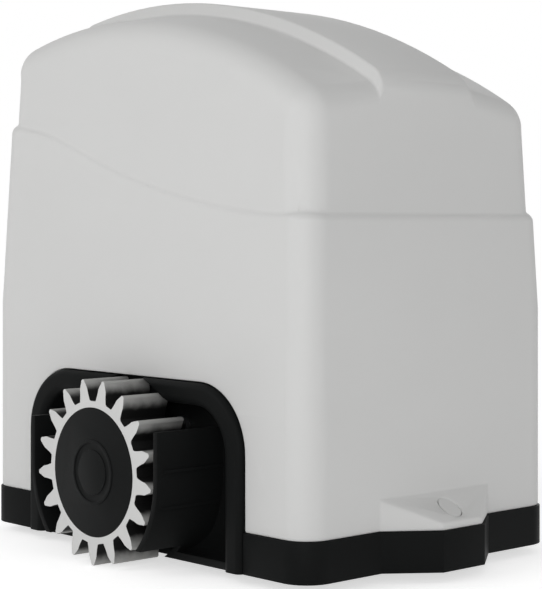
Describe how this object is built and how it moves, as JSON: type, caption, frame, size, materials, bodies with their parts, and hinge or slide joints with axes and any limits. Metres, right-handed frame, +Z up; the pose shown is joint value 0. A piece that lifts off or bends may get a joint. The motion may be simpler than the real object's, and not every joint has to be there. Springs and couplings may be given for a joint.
{
  "type": "sliding gate motor",
  "caption": "Sliding gate motor with an arched white hood on a black plinth, an internal worm gearbox and a front rack pinion in a U-shaped guard.",
  "frame": {"origin": "centre of the four anchor bolt holes on the plinth's underside", "axes": "+X along the gate, the pinion looks towards -Y, +Z up"},
  "size_m": [0.2378, 0.1632, 0.2364],
  "materials": {
    "black_plastic": "satin moulded",
    "seal_rubber": "soft",
    "cast_aluminium": "cast",
    "laminations": "varnished stack",
    "enamelled_copper": "enamelled",
    "bracket_grey": "satin",
    "board_green": "solder mask",
    "terminal_green": "satin",
    "relay_blue": "satin",
    "chip_black": "matte",
    "can_white": "satin",
    "hood_plastic": "fine satin moulded",
    "bronze": "machined",
    "pinion_nylon": "satin moulded",
    "steel_parts": "zinc plated or ground"
  },
  "bodies": {
    "base": {"plinth": "black_plastic", "cable_grommet": "seal_rubber", "pinion_guard": "black_plastic", "guard_screws": "steel_parts", "gearbox_housing": "cast_aluminium", "gearbox_plate": "cast_aluminium", "gearbox_screws": "steel_parts", "gearbox_bolts": "steel_parts", "output_bearings": "steel_parts", "oil_seal": "seal_rubber", "worm_bearings": "steel_parts", "motor_flange": "cast_aluminium", "motor_stator": "laminations", "stator_windings": "enamelled_copper", "motor_end_cap": "cast_aluminium", "rotor_bearing": "steel_parts", "motor_tie_bolts": "steel_parts", "board_bracket": "bracket_grey", "control_board": "board_green", "board_screws": "steel_parts", "terminal_blocks": "terminal_green", "relays": "relay_blue", "board_chips": "chip_black", "filter_capacitors": "chip_black", "transformer_core": "laminations", "transformer_coil": "enamelled_copper", "transformer_foot": "steel_parts", "run_capacitor": "can_white", "capacitor_cup": "black_plastic", "limit_sensor": "black_plastic"},
    "hood": {"hood": "hood_plastic", "hood_screws": "steel_parts", "screw_plugs": "hood_plastic"},
    "output": {"output_shaft": "steel_parts", "shaft_keys": "steel_parts", "worm_wheel": "bronze", "rack_pinion": "pinion_nylon", "pinion_cap": "black_plastic", "pinion_washer": "steel_parts", "pinion_bolt": "steel_parts"},
    "rotor": {"worm_shaft": "steel_parts", "rotor_core": "laminations"}
  },
  "joints": [
    {"name": "rotor_spin", "type": "hinge", "parent": "base", "child": "rotor", "pos_m": [0.0269, -0.012, 0.1], "axis": [0, 0, 1], "continuous": true},
    {"name": "pinion_spin", "type": "hinge", "parent": "base", "child": "output", "pos_m": [-0.0011, 0, 0.0338], "axis": [0, 1, 0], "continuous": true},
    {"name": "hood_lift", "type": "slide", "parent": "base", "child": "hood", "axis": [0, 0, 1], "range_m": [0, 0.24]}
  ],
  "couplings": [
    {"joint": "pinion_spin", "follows": "rotor_spin", "ratio": 0.05}
  ]
}
